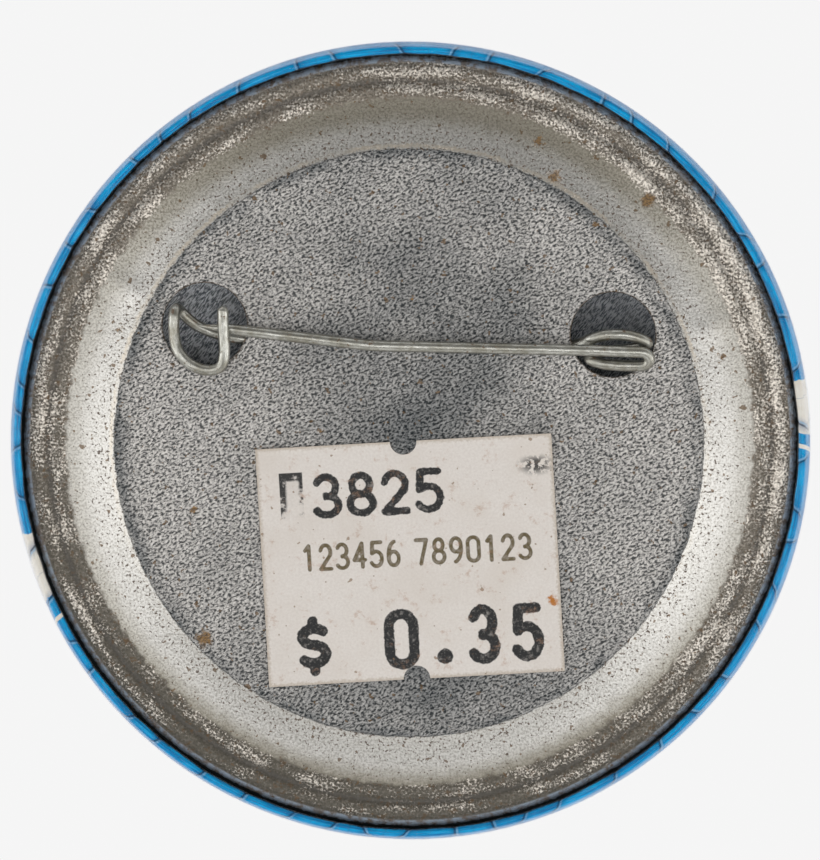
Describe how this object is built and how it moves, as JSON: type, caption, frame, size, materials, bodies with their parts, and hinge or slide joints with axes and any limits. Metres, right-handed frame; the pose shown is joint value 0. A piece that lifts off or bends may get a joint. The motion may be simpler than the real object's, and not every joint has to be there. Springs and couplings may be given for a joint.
{
  "type": "button badge",
  "caption": "Round domed pin-back button badge with a folded blue rim, a stamped tin back plate with two windows, a sprung wire pin with an open hook catch, and a paper price label.",
  "frame": {"origin": "lowest point of the domed face, under the middle of the badge, which lies face down", "axes": "+Z out of the back plate, away from the dome; +X along the pin, from the catch to the spring coil"},
  "size_m": [0.0572, 0.0572, 0.0087],
  "materials": {
    "film": "clear glossy film",
    "printed_paper": "satin printed",
    "shell_tin": "dull rolled tinplate",
    "plate_tin": "crystalline tinplate with oxide spots",
    "pin_wire": "dull drawn wire",
    "label_paper": "aged matt paper",
    "adhesive": "dried glue"
  },
  "bodies": {
    "badge": {"clear_film": "film", "printed_paper": "printed_paper", "front_shell": "shell_tin", "back_plate": "plate_tin", "base_bar": "pin_wire", "catch_hook": "pin_wire", "spring_coil": "pin_wire", "price_label": "label_paper", "label_adhesive": "adhesive"},
    "arm": {"pin_arm": "pin_wire"}
  },
  "joints": [
    {"name": "pin_hinge", "type": "hinge", "parent": "badge", "child": "arm", "pos_m": [0.0123, 0.00675, 0.0072], "axis": [0.9256, -0.0534, -0.3746], "range_deg": [0, 180]}
  ]
}
